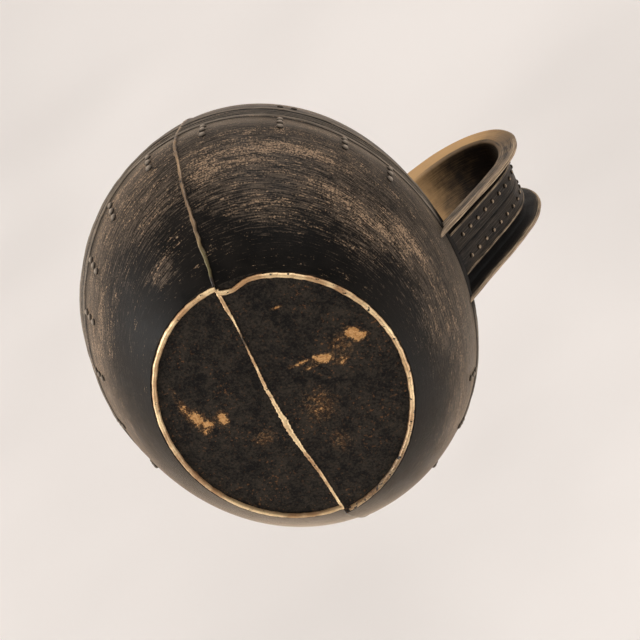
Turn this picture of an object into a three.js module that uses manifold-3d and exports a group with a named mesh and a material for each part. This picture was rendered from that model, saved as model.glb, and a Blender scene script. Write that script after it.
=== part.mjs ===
import * as THREE from 'three';
import ManifoldModule from 'manifold-3d';

// A cast pouring jug: an oval bellied body cast as two halves and joined by a raised
// seam, a foot ring, a belt of raised lines with small bosses, a neck and a strap handle.
// Units are millimetres. +Z is up, the seam runs along the YZ plane, and the handle points
// to +X.

const wasm = await ManifoldModule();
wasm.setup();

// Body, measured on the outside
const bellyHalfLength = 90;
const bellyHalfWidth = 77.3;
const bellyHeight = 54.7;
const wall = 2.6;
const undersideFullness = 1.53;
const shoulderFullness = 2.46;
const shoulderHeight = 157.7;
const neckRadius = 36;

// The belt isn't level. It rises a little per millimetre along X and along Y, and also
// waves up and down twice on its way round, with a crest at the crest angle.
const leanAlongWidth = 0.063;
const leanAlongLength = -0.019;
const beltWave = 8.7;
const beltCrestAngle = -70;

// Foot ring, a low bead. The two moulds didn't quite match, so each half has its own oval.
// A skewed oval swells in two opposite quarters and is drawn in by as much in the others.
const leftFoot = { halfLength: 50.7, halfWidth: 44.7, shift: 0.4, skew: 0 };
const rightFoot = { halfLength: 51.4, halfWidth: 45.9, shift: 2.0, skew: 1.7 };
const footRingWidth = 2.2;
const footRingLand = 1.0;
const footRingHeight = 1.2;
const footEdgeMargin = 0.4;

// Metal that joins the two halves, and the gap that its sides keep from them
const seamWidth = 1.8;
const seamProud = 0.7;
const baseSeamProud = 0.9;
const seamGap = 0.03;

// The base's joint metal ends this far above the floor of the hollow
const baseSeamRise = 0.6;

// The joint wanders across the base: its distance from the middle plane along the length
const seamPath = [
  [-100, 0], [-50, -0.9], [-34, -1.0], [-8, -3.0], [14, -3.3], [34, -1.2], [52, -0.5], [100, 0],
];

// Belt of raised lines, heights measured up from the widest part
const beltStart = -3.3;
const beltWidth = 13.4;
const edgeLineWidth = 1.6;
const edgeLineProud = 0.8;
const fineLineWidth = 1.3;
const fineLineProud = 0.4;
const fineLineCount = 4;
const fineLinePitch = 2.4;

// Bosses on the body: groups of three hang below the belt, two stand above it
const bossRadius = 1.3;
const bossProud = 1.0;
const bossesPerGroup = 3;
const bossPitch = 3.6;
const bossDrop = 3.5;
const frontGroupAngles = [-30, -43.5, -61, -82, -99, -115, -130, -144];
const backGroupCount = 11;
const lastGroupAngle = -330;
const upperBossRise = 8.5;
const upperBossAngles = [-61, -57];

// Neck
const neckHeight = 20.3;
const neckWaistRadius = 34;
const mouthRadius = 41.5;
const lipRadius = 1.9;

// Handle strap: a web with an upright flange along each edge
const strapWidth = 31.8;
const webThickness = 2.2;
const flangeHeight = 6.5;
const flangeTipThickness = 1.6;
const flangeTipRounding = 0.45;
const flangeRootThickness = 1.6;
const flangeFillet = 1.6;
const flangeFlare = 2.3;
const strapFaceHalfWidth = 8.6;
const strapFaceProud = 0.4;
const strapLineWidth = 1.5;
const strapLineProud = 0.9;
const centreGrooveWidth = 1.2;
const channelSlope = 0.7;
const channelDepth = 0.3;
const strapBossRadius = 1.0;
const strapBossProud = 0.8;
const strapBossPitch = 6.2;
const strapBossRowOffset = 5.0;

// Outer face of the web in the XZ plane, from inside the belly up and over to the shoulder
const strapPath = [
  [61, 39.6], [71.5, 51.4], [88.7, 70.6], [102, 86.2], [109, 96.5], [112.3, 108],
  [112, 120], [108, 128.3], [100, 131.8], [89, 130], [76.5, 122.6], [62, 111.5],
];

// Gap that a curved foot of the handle keeps from the body
const clearance = 0.3;

// Facet counts
const bodySegments = 48;
const liningSegments = 32;
const ringSteps = 24;
const strapSteps = 28;
const neckSegments = 34;

const patina = { color: 0x2b2623, roughness: 0.5, metalness: 0.4 };
const bareBrass = { color: 0xb48d63, roughness: 0.42, metalness: 0.85 };
const dullBrass = { color: 0x6a5943, roughness: 0.55, metalness: 0.7 };

const degrees = Math.PI / 180;
const fullTurn = Math.PI * 2;

// The joint's foot lies midway between the feet of the two halves
const seamFoot = {
  halfLength: (leftFoot.halfLength + rightFoot.halfLength) / 2,
  halfWidth: (leftFoot.halfWidth + rightFoot.halfWidth) / 2,
  shift: (leftFoot.shift + rightFoot.shift) / 2,
  skew: (leftFoot.skew + rightFoot.skew) / 2,
};

// Sizes of the oval form on its foot, moved in by an inset
function bodyForm(inset, foot) {
  const edge = footRingWidth / 2 + footEdgeMargin - inset;
  return {
    halfLength: bellyHalfLength - inset,
    halfWidth: bellyHalfWidth - inset,
    footHeight: footRingHeight + inset,
    footHalfLength: foot.halfLength + edge,
    footHalfWidth: foot.halfWidth + edge,
    footShift: foot.shift,
    footSkew: foot.skew,
    topHeight: shoulderHeight - inset,
    topRadius: neckRadius - inset,
  };
}

// Superellipse from the belly to a smaller end: half size at a share of the way
function taper(bellyHalf, endHalf, fullness, share) {
  const depth = 1 / (1 - (endHalf / bellyHalf) ** fullness) ** (1 / fullness);
  return bellyHalf * (1 - (share / depth) ** fullness) ** (1 / fullness);
}

function halfSizes(form, height) {
  if (height < bellyHeight) {
    const share = (bellyHeight - height) / (bellyHeight - form.footHeight);
    return {
      x: taper(form.halfWidth, form.footHalfWidth, undersideFullness, share),
      y: taper(form.halfLength, form.footHalfLength, undersideFullness, share),
    };
  }
  const share = (height - bellyHeight) / (form.topHeight - bellyHeight);
  return {
    x: taper(form.halfWidth, form.topRadius, shoulderFullness, share),
    y: taper(form.halfLength, form.topRadius, shoulderFullness, share),
  };
}

// 0 from the belly up, 1 at the foot
function footShare(form, height) {
  return Math.max(0, (bellyHeight - height) / (bellyHeight - form.footHeight));
}

// Height at an angle of a line that runs with the belt; it is level at both ends of the form
function runningHeight(form, angle, height) {
  const beltTop = bellyHeight + beltStart + beltWidth;
  const above = Math.max(0, (height - beltTop) / (form.topHeight - beltTop));
  const share = 1 - footShare(form, height) ** 2 - above ** 2;
  const half = halfSizes(form, height);
  const lean = leanAlongWidth * half.x * Math.cos(angle) + leanAlongLength * half.y * Math.sin(angle);
  const wave = beltWave * Math.cos(2 * (angle - beltCrestAngle * degrees));
  return height + share * (lean + wave);
}

function ovalPoint(halfWidth, halfLength, shift, skew, angle, height) {
  const swell = -skew * Math.sin(2 * angle);
  return new THREE.Vector3(
    (halfWidth + swell) * Math.cos(angle), shift + (halfLength + swell) * Math.sin(angle), height,
  );
}

// Point of the upright oval form that such a line passes through
function surfacePoint(form, angle, height) {
  const z = runningHeight(form, angle, height);
  const half = halfSizes(form, z);
  const share = footShare(form, z) ** 2;
  return ovalPoint(half.x, half.y, form.footShift * share, form.footSkew * share, angle, z);
}

function surfaceNormal(form, angle, height) {
  const step = height < bellyHeight ? 0.2 : -0.2;
  const point = surfacePoint(form, angle, height);
  const beside = surfacePoint(form, angle + 0.01, height).sub(point);
  const above = surfacePoint(form, angle, height + step).sub(point).divideScalar(step);
  return beside.cross(above).normalize();
}

function toManifold(positions, triangles) {
  const mesh = new wasm.Mesh({
    numProp: 3,
    vertProperties: Float32Array.from(positions),
    triVerts: Uint32Array.from(triangles),
  });
  mesh.merge();
  return new wasm.Manifold(mesh);
}

function geometryToManifold(geometry) {
  return toManifold(geometry.attributes.position.array, geometry.index.array);
}

function manifoldToGeometry(solid) {
  const { vertProperties, triVerts } = solid.getMesh();
  const geometry = new THREE.BufferGeometry();
  geometry.setAttribute('position', new THREE.BufferAttribute(vertProperties, 3));
  geometry.setIndex(new THREE.BufferAttribute(triVerts, 1));
  geometry.computeVertexNormals();
  return geometry;
}

function block(minX, maxX, minY, maxY, minZ, maxZ) {
  const geometry = new THREE.BoxGeometry(maxX - minX, maxY - minY, maxZ - minZ);
  geometry.translate((minX + maxX) / 2, (minY + maxY) / 2, (minZ + maxZ) / 2);
  return geometryToManifold(geometry);
}

// Skin between rings of points, closed at each end by a fan about the ring's middle
function solidFromRings(rings) {
  const positions = rings.flat().flatMap((point) => point.toArray());
  const count = rings[0].length;
  const last = (rings.length - 1) * count;
  for (const ring of [rings[0], rings[rings.length - 1]]) {
    const middle = ring.reduce((sum, point) => sum.add(point), new THREE.Vector3());
    positions.push(...middle.divideScalar(count).toArray());
  }
  const startMiddle = last + count;
  const endMiddle = startMiddle + 1;
  const triangles = [];
  for (let i = 0; i < count; i += 1) {
    const next = (i + 1) % count;
    triangles.push(startMiddle, next, i);
    triangles.push(endMiddle, last + i, last + next);
    for (let row = 0; row < last; row += count) {
      triangles.push(row + i, row + next, row + count + next);
      triangles.push(row + i, row + count + next, row + count + i);
    }
  }
  return toManifold(positions, triangles);
}

function ovalRing(form, { height, proud }, segments) {
  const ring = [];
  for (let i = 0; i < segments; i += 1) {
    const angle = ((i + 0.5) / segments) * fullTurn;
    const normal = surfaceNormal(form, angle, height);
    ring.push(surfacePoint(form, angle, height).addScaledVector(normal, proud));
  }
  return ring;
}

// Rows up a smooth form, closer together towards the foot and the neck
function plainRows(form, steps, proud) {
  const rows = [];
  for (let i = -steps; i <= steps; i += 1) {
    const reach = i < 0 ? bellyHeight - form.footHeight : form.topHeight - bellyHeight;
    rows.push({ height: bellyHeight + reach * Math.sin((i / steps) * Math.PI / 2), proud });
  }
  return rows;
}

function raisedLineRows(rise, width, proud) {
  const height = bellyHeight + rise;
  return [
    { height: height - width / 2, proud: 0 },
    { height: height - width / 5, proud },
    { height: height + width / 5, proud },
    { height: height + width / 2, proud: 0 },
  ];
}

// Rows up the outside: underside, belt of raised lines, shoulder
function outsideRows(form) {
  const steps = 10;
  const beltTop = bellyHeight + beltStart + beltWidth + edgeLineWidth;
  const rows = plainRows(form, steps, 0).slice(0, steps);
  rows.push(...raisedLineRows(beltStart, edgeLineWidth, edgeLineProud));
  for (let i = 1; i <= fineLineCount; i += 1) {
    rows.push(...raisedLineRows(beltStart + fineLinePitch * i, fineLineWidth, fineLineProud));
  }
  rows.push(...raisedLineRows(beltStart + beltWidth, edgeLineWidth, edgeLineProud));
  for (let i = 1; i <= steps; i += 1) {
    const share = Math.sin((i / steps) * Math.PI / 2);
    rows.push({ height: beltTop + (form.topHeight - beltTop) * share, proud: 0 });
  }
  return rows;
}

function outsideSolid(form) {
  return solidFromRings(outsideRows(form).map((row) => ovalRing(form, row, bodySegments)));
}

// What the handle's feet keep clear of: the outside with its belt filled out to the crests
// of the edge lines, so that the feet don't dip in between the lines
function handleSeat(form) {
  const rows = outsideRows(form).map(({ height }) => {
    const fromMiddle = Math.abs(height - bellyHeight - beltStart - beltWidth / 2);
    const onBelt = fromMiddle < (beltWidth + edgeLineWidth) / 2;
    return { height, proud: clearance + (onBelt ? edgeLineProud : 0) };
  });
  return solidFromRings(rows.map((row) => ovalRing(form, row, bodySegments)));
}

// The hollow inside, carried straight up through the neck opening
function hollowSolid(foot) {
  const form = bodyForm(wall, foot);
  const rings = plainRows(form, 7, 0).map((row) => ovalRing(form, row, liningSegments));
  const opening = rings[rings.length - 1];
  rings.push(opening.map((point) => point.clone().setZ(shoulderHeight + wall)));
  return solidFromRings(rings);
}

// A low dome with its underside sunk into the surface it stands on
function boss(radius, proud, point, outward) {
  const geometry = new THREE.SphereGeometry(1, 6, 4);
  geometry.rotateX(Math.PI / 2);
  geometry.scale(radius, radius, proud * 1.5);
  const upright = new THREE.Vector3(0, 0, 1);
  geometry.applyQuaternion(new THREE.Quaternion().setFromUnitVectors(upright, outward));
  const centre = point.clone().addScaledVector(outward, -proud / 2);
  geometry.translate(centre.x, centre.y, centre.z);
  return geometryToManifold(geometry);
}

function bodyBoss(form, angle, rise) {
  const height = bellyHeight + rise;
  const point = surfacePoint(form, angle, height);
  return boss(bossRadius, bossProud, point, surfaceNormal(form, angle, height));
}

// Groups go round the belly from one side of the handle to the other
function groupAngles() {
  const angles = [...frontGroupAngles];
  const start = angles[angles.length - 1];
  for (let i = 1; i <= backGroupCount; i += 1) {
    angles.push(start + ((lastGroupAngle - start) * i) / backGroupCount);
  }
  return angles;
}

// The bosses that stand on one side of the joint
function bodyBosses(form, side) {
  const places = groupAngles().flatMap((angle) => Array.from(
    { length: bossesPerGroup }, (unused, i) => [angle, beltStart - bossDrop - bossPitch * i],
  ));
  for (const angle of upperBossAngles) places.push([angle, beltStart + beltWidth + upperBossRise]);
  return places
    .filter(([angle]) => Math.cos(angle * degrees) * side > 0)
    .map(([angle, rise]) => bodyBoss(form, angle * degrees, rise));
}

// Everything on one side of the wandering joint, from a distance away from its middle
function sideOfJoint(side, distance) {
  const far = side * bellyHalfLength * 2;
  const outline = seamPath.map(([y, x]) => [x + side * distance, y]);
  outline.push([far, seamPath[seamPath.length - 1][0]], [far, seamPath[0][0]]);
  if (side > 0) outline.reverse();
  return solidFromRings([-1, shoulderHeight + neckHeight].map(
    (z) => outline.map(([x, y]) => new THREE.Vector3(x, y, z)),
  ));
}

// Half of the body, cut back from the joint by half the seam's width
function bodyHalf(side, foot) {
  const form = bodyForm(0, foot);
  const outer = bodyBosses(form, side).reduce((sum, one) => sum.add(one), outsideSolid(form));
  return outer.subtract(hollowSolid(foot)).intersect(sideOfJoint(side, seamWidth / 2 + seamGap));
}

// Joint metal fills the gap between the halves and stands proud of both
function seamSolid() {
  const form = bodyForm(0, seamFoot);
  const rows = plainRows(form, 12, seamProud);
  const proudBody = solidFromRings(rows.map((row) => ovalRing(form, row, bodySegments * 2)));
  const baseLength = seamFoot.halfLength + footRingWidth / 2;
  const base = block(
    -seamFoot.halfWidth / 2, seamFoot.halfWidth / 2,
    seamFoot.shift - baseLength, seamFoot.shift + baseLength,
    footRingHeight - baseSeamProud, footRingHeight + wall / 2,
  );
  return proudBody.add(base).subtract(hollowSolid(seamFoot))
    .subtract(sideOfJoint(-1, seamWidth / 2))
    .subtract(sideOfJoint(1, seamWidth / 2));
}

function seamPiece(seam, minY, maxY, minZ, maxZ) {
  return seam.intersect(block(-bellyHalfWidth, bellyHalfWidth, minY, maxY, minZ, maxZ));
}

// Half of the foot ring, flat on the base above and with a flat land to stand on below
function footRingHalf(side, foot) {
  const section = [
    [footRingWidth / 2, footRingHeight],
    [footRingWidth / 2, footRingHeight * 0.45],
    [footRingLand / 2, 0],
    [-footRingLand / 2, 0],
    [-footRingWidth / 2, footRingHeight * 0.45],
    [-footRingWidth / 2, footRingHeight],
  ];
  const rings = [];
  for (let i = 0; i <= ringSteps; i += 1) {
    const angle = -side * Math.PI / 2 + (Math.PI * i) / ringSteps;
    const x = Math.cos(angle);
    const y = Math.sin(angle);
    const across = new THREE.Vector3(foot.halfLength * x, foot.halfWidth * y, 0).normalize();
    rings.push(section.map(([offset, height]) => ovalPoint(
      foot.halfWidth, foot.halfLength, foot.shift, foot.skew, angle, height,
    ).addScaledVector(across, offset)));
  }
  return solidFromRings(rings).intersect(sideOfJoint(side, seamWidth / 2 + seamGap));
}

// Neck: a short waisted collar with a rounded lip, seated flat on the shoulder
function neckGeometry() {
  const lipCentre = new THREE.Vector2(
    mouthRadius - lipRadius, shoulderHeight + neckHeight - lipRadius,
  );
  const side = new THREE.SplineCurve([
    new THREE.Vector2(neckRadius - wall / 2, shoulderHeight),
    new THREE.Vector2(neckWaistRadius - wall / 2, shoulderHeight + neckHeight * 0.33),
    new THREE.Vector2(neckWaistRadius, shoulderHeight + neckHeight * 0.6),
    new THREE.Vector2(lipCentre.x, lipCentre.y - lipRadius * 0.75),
  ]).getPoints(6);
  const outer = side.map((point) => new THREE.Vector2(point.x + wall / 2, point.y));
  const inner = side.map((point) => new THREE.Vector2(point.x - wall / 2, point.y));
  const lip = new THREE.Path().absarc(
    lipCentre.x, lipCentre.y, lipRadius, -35 * degrees, 215 * degrees, false,
  ).getPoints(6);
  const profile = [...outer, ...lip, ...inner.reverse(), outer[0]];
  const geometry = new THREE.LatheGeometry(profile, neckSegments);
  geometry.rotateX(Math.PI / 2);
  return geometry;
}

// Strap section as [across, outwards] from the middle of the web's outer face
function strapSection() {
  const tip = strapWidth / 2;
  const root = tip - flangeFlare;
  const lineEnd = strapFaceHalfWidth + strapLineWidth;
  const half = [
    [0, 0],
    [centreGrooveWidth / 2, strapFaceProud],
    [strapFaceHalfWidth, strapFaceProud],
    [strapFaceHalfWidth + strapLineWidth / 2, strapLineProud],
    [lineEnd, strapFaceProud / 2],
    [lineEnd + channelSlope, -channelDepth],
    [root - flangeFillet, -channelDepth],
    [root, flangeFillet - channelDepth],
    [tip - flangeTipThickness, flangeHeight - flangeTipRounding],
    [tip - flangeTipThickness / 2, flangeHeight],
    [tip, flangeHeight - flangeTipRounding],
    [tip, flangeHeight - flangeTipThickness],
    [root + flangeRootThickness, flangeRootThickness],
    [root + flangeRootThickness * 0.6, -webThickness / 2],
    [root, -webThickness],
  ];
  const mirrored = half.slice(1).reverse().map(([across, outwards]) => [-across, outwards]);
  return [...half, ...mirrored];
}

// Whether a place is outside the body, by at least a margin
function standsClear(place, margin) {
  const half = halfSizes(bodyForm(-margin, rightFoot), place.z);
  return Math.hypot(place.x / half.x, place.y / half.y) > 1;
}

function strapSolid() {
  const points = strapPath.map(([x, z]) => new THREE.Vector3(x, 0, z));
  const curve = new THREE.CatmullRomCurve3(points, false, 'centripetal');
  const length = curve.getLength();
  const section = strapSection();
  const outwardAt = (share) => {
    const along = curve.getTangentAt(share);
    return new THREE.Vector3(along.z, 0, -along.x);
  };
  const rings = [];
  for (let i = 0; i <= strapSteps; i += 1) {
    const point = curve.getPointAt(i / strapSteps);
    const outward = outwardAt(i / strapSteps);
    rings.push(section.map(([u, n]) => point.clone().addScaledVector(outward, n).setY(u)));
  }
  let strap = solidFromRings(rings);
  for (let travel = strapBossPitch; travel < length; travel += strapBossPitch) {
    const outward = outwardAt(travel / length);
    const point = curve.getPointAt(travel / length).addScaledVector(outward, strapFaceProud);
    for (const side of [-1, 1]) {
      point.setY(side * strapBossRowOffset);
      if (standsClear(point, clearance + strapBossRadius)) {
        strap = strap.add(boss(strapBossRadius, strapBossProud, point, outward));
      }
    }
  }
  return strap;
}

function addPiece(group, name, geometry, look) {
  const mesh = new THREE.Mesh(geometry, new THREE.MeshStandardMaterial(look));
  mesh.name = name;
  group.add(mesh);
}

function addSolid(group, name, solid, look) {
  addPiece(group, name, manifoldToGeometry(solid), look);
}

function buildJug() {
  const jug = new THREE.Group();
  addSolid(jug, 'body_half_left', bodyHalf(-1, leftFoot), patina);
  addSolid(jug, 'body_half_right', bodyHalf(1, rightFoot), patina);

  const seam = seamSolid();
  const baseTop = footRingHeight + wall + baseSeamRise;
  const far = bellyHalfLength * 2;
  addSolid(jug, 'base_seam', seamPiece(seam, -far, far, 0, baseTop), bareBrass);
  addSolid(jug, 'front_seam', seamPiece(seam, -far, 0, baseTop, shoulderHeight), dullBrass);
  addSolid(jug, 'back_seam', seamPiece(seam, 0, far, baseTop, shoulderHeight), dullBrass);

  addSolid(jug, 'foot_ring_left', footRingHalf(-1, leftFoot), bareBrass);
  addSolid(jug, 'foot_ring_right', footRingHalf(1, rightFoot), bareBrass);
  addPiece(jug, 'neck', neckGeometry(), patina);

  const seat = handleSeat(bodyForm(0, rightFoot));
  addSolid(jug, 'handle', strapSolid().subtract(seat), patina);
  return jug;
}

// The origin is the middle of the jug's footprint, at the level it stands on
const jug = buildJug();
const middle = new THREE.Box3().setFromObject(jug).getCenter(new THREE.Vector3());
jug.position.set(-middle.x, -middle.y, 0);

const scene = new THREE.Group();
scene.add(jug);
export default scene;
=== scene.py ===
import math

import bpy
from mathutils import Matrix, Vector, noise


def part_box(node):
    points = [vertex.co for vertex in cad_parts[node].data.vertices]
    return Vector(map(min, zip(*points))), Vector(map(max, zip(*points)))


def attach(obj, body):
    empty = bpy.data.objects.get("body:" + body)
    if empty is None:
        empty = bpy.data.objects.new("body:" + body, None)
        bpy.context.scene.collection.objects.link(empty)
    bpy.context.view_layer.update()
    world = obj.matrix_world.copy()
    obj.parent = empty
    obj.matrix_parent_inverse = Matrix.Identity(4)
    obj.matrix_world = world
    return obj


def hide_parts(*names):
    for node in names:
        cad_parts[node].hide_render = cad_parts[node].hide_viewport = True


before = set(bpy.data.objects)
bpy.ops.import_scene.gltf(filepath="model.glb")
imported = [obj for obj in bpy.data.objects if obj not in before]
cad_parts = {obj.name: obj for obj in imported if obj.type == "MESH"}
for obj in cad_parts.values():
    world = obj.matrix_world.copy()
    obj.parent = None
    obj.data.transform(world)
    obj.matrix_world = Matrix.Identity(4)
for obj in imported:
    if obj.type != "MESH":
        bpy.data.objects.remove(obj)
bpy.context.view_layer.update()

# A cast pouring jug seen from below against a pale cloth. Sizes are in millimetres from the
# foot of the jug's axis, with +Z up, +X towards the handle and the joint of the two halves
# along Y. They turn into the frame's metres where a mesh is made.

MM = 0.001
AXIS_X = (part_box("neck")[0].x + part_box("neck")[1].x) / 2

# Body
BELLY_HALF_LENGTH = 90
BELLY_HALF_WIDTH = 77.3
BELLY_HEIGHT = 54.7
WALL = 2.6
UNDERSIDE_FULLNESS = 1.53
SHOULDER_FULLNESS = 2.46
SHOULDER_HEIGHT = 157.7
NECK_RADIUS = 36

# The belt's rise per millimetre along X and Y, and its wave twice round the body
LEAN_ALONG_WIDTH = 0.063
LEAN_ALONG_LENGTH = -0.019
BELT_WAVE = 8.7
BELT_CREST_ANGLE = -70

# Foot ring: the oval of each half as half length, half width, shift along Y and skew
LEFT_FOOT = (50.7, 44.7, 0.4, 0)
RIGHT_FOOT = (51.4, 45.9, 2.0, 1.7)
SEAM_FOOT = tuple((left + right) / 2 for left, right in zip(LEFT_FOOT, RIGHT_FOOT))
RING_WIDTH = 2.2
RING_HEIGHT = 1.2
FOOT_MARGIN = 0.4
RING_GAP = 2.1

# Where the right half's ring starts, it sags inwards before it meets the joint
RING_SAG = 2.2
RING_SAG_ANGLE = -84.6
RING_SAG_REACH = 5.8

# The right half's ring is most pitted and dullest round these angles
RING_PITTED_ANGLE = 55
RING_DULL_ANGLE = 62
RING_DULLNESS = 0.68

# The ring's ragged half width as a share of the full one, and how far its foot is worn away
RING_FULLNESS = 0.84
RING_RAGGEDNESS = 0.16
RING_FOOT_WEAR = 0.12

# Joint: distance from the middle plane at places along Y, and its width across the base
JOINT_PATH = [
    (-100, 0), (-50, -0.9), (-34, -1.0), (-8, -3.0), (14, -3.3), (34, -1.2), (52, -0.5), (100, 0),
]
BASE_SEAM_WIDTHS = [
    (-52, 1.6), (-46, 1.3), (-43, 1.6), (-39, 1.0), (-35, 0.7), (-26, 0.6), (-21, 0.9),
    (-10, 1.2), (2, 1.6), (8, 2.4), (14, 2.0), (22, 1.5), (36, 1.2), (53, 1.1),
]
BASE_SEAM_WANDER = 0.12
BASE_SEAM_RAGGEDNESS = 0.28
SIDE_SEAM_WIDTH = 1.55
SIDE_SEAM_WANDER = 0.35
SIDE_SEAM_FULLNESS = 0.95
SIDE_SEAM_RAGGEDNESS = 0.5
SIDE_SEAM_LUMPS = 0.3
SEAM_PROUD = 0.5
SEAM_SINK = 0.35
HALF_GAP = 0.2

# The metal up the sides gets narrower and darker over its lowest stretch
SEAM_FOOT_REACH = 2.5
SEAM_FOOT_NARROWING = 0.35

# The dark crack in the joint metal across the base: its place along Y, reach and strength
CRACK_Y = -29
CRACK_REACH = 6.5
CRACK_DIRT = 0.8

# How far the edges of the metal are sunk into the base
BASE_METAL_SINK = 0.25
RING_METAL_SINK = 0.3

# The joint metal up the sides is stained below these heights, in metres
STAIN_HEIGHTS = (0.004, 0.018)

# Belt, as rises above the widest part, widths and heights of its raised lines
BELT_START = -3.3
BELT_WIDTH = 13.4
EDGE_LINE_WIDTH = 1.6
EDGE_LINE_PROUD = 0.8
FINE_LINE_WIDTH = 1.3
FINE_LINE_PROUD = 0.4
FINE_LINE_COUNT = 4
FINE_LINE_PITCH = 2.4
BELT_MARGIN = 1.5
LINE_UNEVENNESS = 0.3

# Soft band of painted shade above the belt: its middle above the upper edge line, reach and strength
UPPER_SHADE_RISE = 5
UPPER_SHADE_REACH = 9
UPPER_SHADE = 0.8

# Bosses
BOSS_RADIUS = 1.3
BOSS_PROUD = 1.0
BOSSES_PER_GROUP = 3
BOSS_PITCH = 3.6
BOSS_DROP = 3.5
FRONT_GROUP_ANGLES = [-30, -43.5, -61, -82, -99, -115, -130, -144]
BACK_GROUP_COUNT = 11
LAST_GROUP_ANGLE = -330
UPPER_BOSS_RISE = 8.5
UPPER_BOSS_ANGLES = [-61, -57]

# Dome of a boss from its sunk rim to its top, as shares of its radius and of its height
BOSS_DOME = [(1.12, -0.35), (1.06, 0.0), (0.95, 0.38), (0.75, 0.72), (0.45, 0.93), (0.02, 1.0)]

# Neck
NECK_HEIGHT = 20.3
NECK_WAIST_RADIUS = 34
MOUTH_RADIUS = 41.5
LIP_RADIUS = 1.9
LIP_START = -35
LIP_SWEEP = 250

# Handle strap
STRAP_WIDTH = 31.8
WEB_THICKNESS = 2.2
FLANGE_HEIGHT = 6.5
FLANGE_TIP_THICKNESS = 1.6
FLANGE_ROOT_THICKNESS = 1.6
FLANGE_FILLET = 1.6
FLANGE_FLARE = 2.3
STRAP_FACE_HALF_WIDTH = 8.6
STRAP_FACE_PROUD = 0.4
STRAP_LINE_WIDTH = 1.5
STRAP_LINE_PROUD = 0.9
CENTRE_GROOVE_WIDTH = 1.2
CHANNEL_SLOPE = 0.7
CHANNEL_DEPTH = 0.3
STRAP_BOSS_RADIUS = 1.0
STRAP_BOSS_PROUD = 0.8
STRAP_BOSS_PITCH = 6.2
STRAP_BOSS_ROW_OFFSET = 5.0
STRAP_END_SHADE_REACH = 2.6
STRAP_SINK = 0.5
FLANGE_SWAY = 0.25
NEAR_FLANGE_BARE_WIDTH = 2.5

# Heights between which the two feet of the strap meet the body, and the reach
# of the painted contact shade round them
STRAP_FEET = [(48, 66), (112, 123)]
CONTACT_SHADE_REACH = 5.5
STRAP_PATH = [
    (61, 39.6), (71.5, 51.4), (88.7, 70.6), (102, 86.2), (109, 96.5), (112.3, 108),
    (112, 120), (108, 128.3), (100, 131.8), (89, 130), (76.5, 122.6), (62, 111.5),
]

# Rubbed places on the body: angle, height, reach round it in degrees, reach up it, strength.
# The wide places at -155, 178, 50 and -122 degrees are painted sheen towards the body's edges.
RUBBED_AND_SHEEN_PLACES = [
    (-68, 38, 13, 5, 0.6), (-52, 39, 12, 5, 0.5), (-83, 35, 4, 6, 0.55), (-72, 27, 15, 8, 0.35),
    (-66, 15, 14, 5, 0.3), (-47, 25, 10, 5, 0.5), (-34, 22, 10, 4.5, 0.75), (-20, 26, 8, 5, 0.7),
    (-34, 12, 10, 4, 0.3), (-108, 11, 6, 3, 0.7), (-106, 30, 9, 8, 0.3), (2, 18, 14, 9, 0.4),
    (40, 27, 16, 8, 0.4), (75, 30, 14, 7, 0.55), (120, 22, 18, 8, 0.5), (160, 34, 14, 6, 0.6),
    (-150, 28, 14, 6, 0.3), (30, 95, 30, 12, 0.5), (110, 100, 26, 14, 0.6), (-60, 96, 30, 12, 0.6),
    # From the place at -155 degrees on, these places are painted sheen, not rubbing.
    (-140, 98, 26, 12, 0.5), (-155, 34, 18, 14, 0.26), (178, 28, 18, 14, 0.36), (50, 30, 22, 12, 0.2),
    (-122, 46, 20, 12, 0.3),
]

# Radius that turns an angle round the body into a distance along the burnishing
FLOW_RADIUS = 80

# Light rubbing and painted sheen everywhere above the dark band round the foot
RUB_AND_SHEEN_OVERALL = 0.38
RUB_AND_SHEEN_START = 5
RUB_AND_SHEEN_RISE = 29

# Chips on the base down to bare metal: x, y, reach along x and y, strength
BASE_CHIPS = [
    (33.4, -15.0, 2.7, 2.1, 1.0), (35.4, -12.4, 2.9, 1.9, 1.0), (21.2, -9.6, 3.0, 1.6, 1.0),
    (18.4, -11.2, 2.4, 1.1, 0.85), (26.0, -6.2, 2.8, 1.5, 0.55), (12.5, -11.6, 4.6, 0.8, 0.65),
    (15.0, -8.6, 4.0, 0.8, 0.5), (-31.2, -7.5, 2.8, 3.8, 0.8), (-33.4, -13.6, 1.6, 4.2, 0.6),
    (-28.6, -4.0, 2.8, 2.1, 0.8), (-30.4, -1.6, 2.2, 1.7, 0.6), (-22.6, -3.6, 2.0, 3.0, 0.85),
    (14.6, -34.8, 1.8, 0.7, 0.75), (-12.8, 10.6, 5.0, 4.0, 0.3), (11.2, 6.9, 8.0, 9.0, 0.3),
    (-33.4, -20.5, 1.0, 4.0, 0.45), (12.0, 24.0, 5.0, 6.0, 0.28), (28.4, -12.0, 5.0, 7.0, 0.3),
]

# Camera, from the photograph: its place from the foot of the axis and its three directions
CAMERA_PLACE = (81.5, -166.1, -307.9)
CAMERA_RIGHT = Vector((0.90311, 0.42805, -0.03422))
CAMERA_UP = Vector((0.39789, -0.80418, 0.44157))
CAMERA_BACK = Vector((0.16149, -0.41240, -0.89658))
FOCAL_LENGTH_MM = 56.25

# Stage, in metres: the height that the camera looks at, and the cloth's distance behind it
LOOK_HEIGHT = 0.09
CLOTH_DISTANCE = 0.16
SHEET_HALF_SIZE = 5
FLOOR_HEIGHT = -0.0003

# Mesh counts
COLUMNS = 150
UNDERSIDE_ROWS = 34
SHOULDER_ROWS = 34
BELT_ROW_STEP = 0.3
BASE_STEPS = 36
BOSS_STEPS = 18
RING_STEPS = 260
RING_ARC_STEPS = 12
BASE_SEAM_STEPS = 340
BASE_SEAM_ARC_STEPS = 8
SIDE_SEAM_STEPS = 280
SIDE_SEAM_HALF_STEPS = 3
NECK_STEPS = 180
NECK_CURVE_STEPS = 18
LIP_STEPS = 16
STRAP_STEPS = 170
STRAP_CURVE_STEPS = 600


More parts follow.
